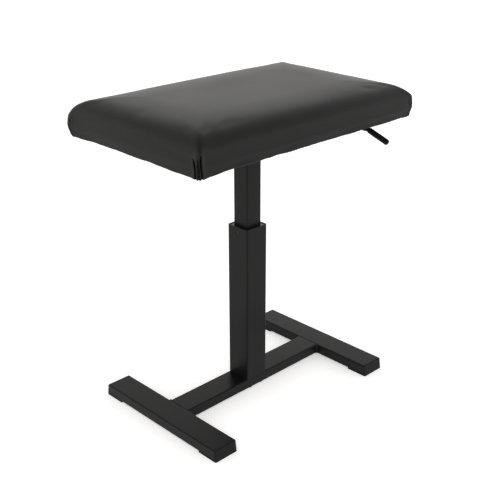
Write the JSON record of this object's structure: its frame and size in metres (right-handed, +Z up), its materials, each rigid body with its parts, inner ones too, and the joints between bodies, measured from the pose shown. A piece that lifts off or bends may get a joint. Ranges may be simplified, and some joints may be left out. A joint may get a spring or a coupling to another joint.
{
  "type": "piano bench",
  "caption": "Height-adjustable piano bench: padded vinyl seat on a square telescopic column with a release lever, on a flat H-shaped steel base.",
  "frame": {"origin": "on the floor, under the axis of the column", "axes": "+X along the seat's length, -Y to the side that the lever's handle comes out of, +Z up"},
  "size_m": [0.515, 0.346, 0.565],
  "materials": {
    "powder_coat": "satin black powder coat with a very fine texture",
    "weld_bead": "weld bead under the same black powder coat",
    "cap_plastic": "black moulded polypropylene, matte",
    "guide_plastic": "black acetal, smooth and slightly waxy",
    "plug_plastic": "black polyethylene, matte",
    "zinc_plate": "bright zinc plate, slightly dulled",
    "black_oxide": "black oxide, oiled",
    "rod_chrome": "hard chrome, ground and polished",
    "cylinder_paint": "gloss black paint on drawn steel tube",
    "bare_steel": "turned steel, uncoated",
    "grip_plastic": "black vinyl grip, soft sheen",
    "seat_vinyl": "smooth black faux leather with a fine grain, satin",
    "foam": "cream polyurethane foam",
    "plywood": "birch plywood, unfinished",
    "dust_cloth": "black non-woven cloth, point bonded"
  },
  "bodies": {
    "base": {"left_foot_tube": "powder_coat", "right_foot_tube": "powder_coat", "spine_tube": "powder_coat", "left_foot_welds": "weld_bead", "right_foot_welds": "weld_bead", "left_front_cap": "cap_plastic", "left_rear_cap": "cap_plastic", "right_front_cap": "cap_plastic", "right_rear_cap": "cap_plastic", "outer_column_tube": "powder_coat", "column_foot_plate": "powder_coat", "column_bolts": "black_oxide", "column_bolt_washers": "zinc_plate", "access_hole_plugs": "plug_plastic", "upper_guide_bush": "guide_plastic", "gas_spring_rod": "rod_chrome", "gas_spring_piston": "bare_steel", "rod_nut": "zinc_plate", "rod_washer": "zinc_plate"},
    "seat": {"inner_column_tube": "powder_coat", "lower_guide_slider": "guide_plastic", "gas_spring_cylinder": "cylinder_paint", "gas_spring_gland": "bare_steel", "gas_spring_socket": "bare_steel", "seat_carrier_plate": "powder_coat", "carrier_gussets": "powder_coat", "seat_bolts": "zinc_plate", "seat_bolt_washers": "zinc_plate", "seat_tee_nuts": "zinc_plate", "lever_bracket": "powder_coat", "lever_outer_bracket": "powder_coat", "seat_board": "plywood", "foam_pad": "foam", "seat_cover": "seat_vinyl", "dust_cover": "dust_cloth"},
    "lever": {"lever_rod": "powder_coat", "lever_finger": "powder_coat", "lever_sleeve": "grip_plastic", "shaft_clips": "zinc_plate"},
    "release_pin": {"release_pin": "bare_steel"}
  },
  "joints": [
    {"name": "seat_height", "type": "slide", "parent": "base", "child": "seat", "axis": [0, 0, 1], "range_m": [-0.12, 0]},
    {"name": "lever_pull", "type": "hinge", "parent": "seat", "child": "lever", "pos_m": [0, -0.036, 0.4993], "axis": [-1, 0, 0], "range_deg": [0, 4], "stiffness_Nm_per_rad": 2, "springref_deg": -5.73},
    {"name": "release_pin_press", "type": "slide", "parent": "seat", "child": "release_pin", "axis": [0, 0, -1], "range_m": [0, 0.003]}
  ],
  "couplings": [
    {"joint": "release_pin_press", "follows": "lever_pull", "m_per_rad": 0.036}
  ]
}
